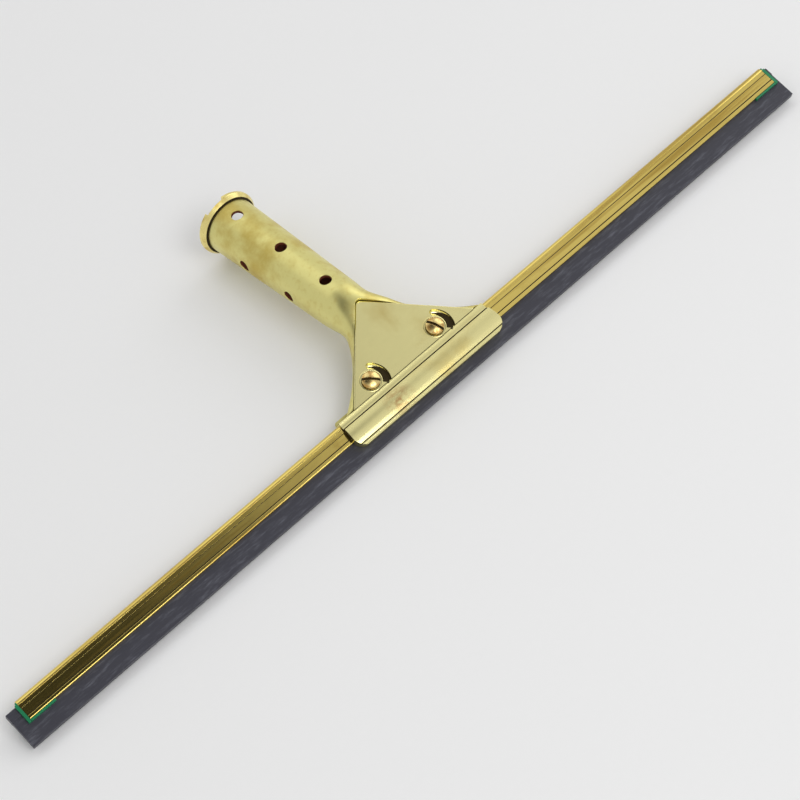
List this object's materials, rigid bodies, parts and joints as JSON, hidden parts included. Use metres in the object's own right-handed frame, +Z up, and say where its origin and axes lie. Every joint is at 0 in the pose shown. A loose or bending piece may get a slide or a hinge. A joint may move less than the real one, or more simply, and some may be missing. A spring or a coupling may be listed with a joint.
{
  "type": "window squeegee",
  "caption": "Window squeegee with a hollow drilled brass handle, a screw clamp jaw, a brass channel and a rubber blade held by end clips.",
  "frame": {"origin": "On the floor plane, below the middle of the bounding box, with the squeegee lying face up on its wiping edge and on the rim of the collar.", "axes": "+X along the blade to the right as seen from the wiping edge, +Y from the wiping edge to the free end of the handle, +Z up."},
  "size_m": [0.4596, 0.1422, 0.0332],
  "materials": {
    "cast_brass": "satin cast brass with light tarnish",
    "turned_brass": "turned and polished brass",
    "jaw_brass": "polished brass",
    "screw_brass": "machined brass",
    "drawn_brass": "bright drawn brass",
    "blade_rubber": "dark grey rubber with faint chalky streaks",
    "clip_plastic": "green moulded plastic"
  },
  "bodies": {
    "handle": {"handle": "cast_brass", "end_collar": "turned_brass"},
    "front_jaw": {"front_jaw": "jaw_brass"},
    "left_screw": {"left_screw": "screw_brass"},
    "right_screw": {"right_screw": "screw_brass"},
    "channel": {"channel_spine": "drawn_brass", "channel_front_wall": "drawn_brass", "channel_rear_wall": "drawn_brass"},
    "rubber": {"rubber_blade": "blade_rubber"},
    "left_clip": {"left_end_clip": "clip_plastic"},
    "right_clip": {"right_end_clip": "clip_plastic"}
  },
  "joints": [
    {"name": "jaw_release", "type": "slide", "parent": "handle", "child": "front_jaw", "axis": [0, -0.3328, 0.943], "range_m": [0, 0.0014]},
    {"name": "left_screw_turn", "type": "hinge", "parent": "front_jaw", "child": "left_screw", "pos_m": [-0.01755, -0.04926, 0.01665], "axis": [0, -0.3328, 0.943], "range_deg": [0, 630]},
    {"name": "right_screw_turn", "type": "hinge", "parent": "front_jaw", "child": "right_screw", "pos_m": [0.02115, -0.04926, 0.01665], "axis": [0, -0.3328, 0.943], "range_deg": [0, 630]},
    {"name": "channel_slide", "type": "slide", "parent": "handle", "child": "channel", "axis": [1, 0, 0], "range_m": [-0.162, 0.162]},
    {"name": "rubber_slide", "type": "slide", "parent": "channel", "child": "rubber", "axis": [1, 0, 0], "range_m": [-0.03, 0.03]},
    {"name": "left_clip_pull", "type": "slide", "parent": "channel", "child": "left_clip", "axis": [-1, 0, 0], "range_m": [0, 0.0125]},
    {"name": "right_clip_pull", "type": "slide", "parent": "channel", "child": "right_clip", "axis": [1, 0, 0], "range_m": [0, 0.0125]}
  ],
  "couplings": [
    {"joint": "left_screw_turn", "follows": "jaw_release", "rad_per_m": 7854},
    {"joint": "right_screw_turn", "follows": "jaw_release", "rad_per_m": 7854}
  ]
}
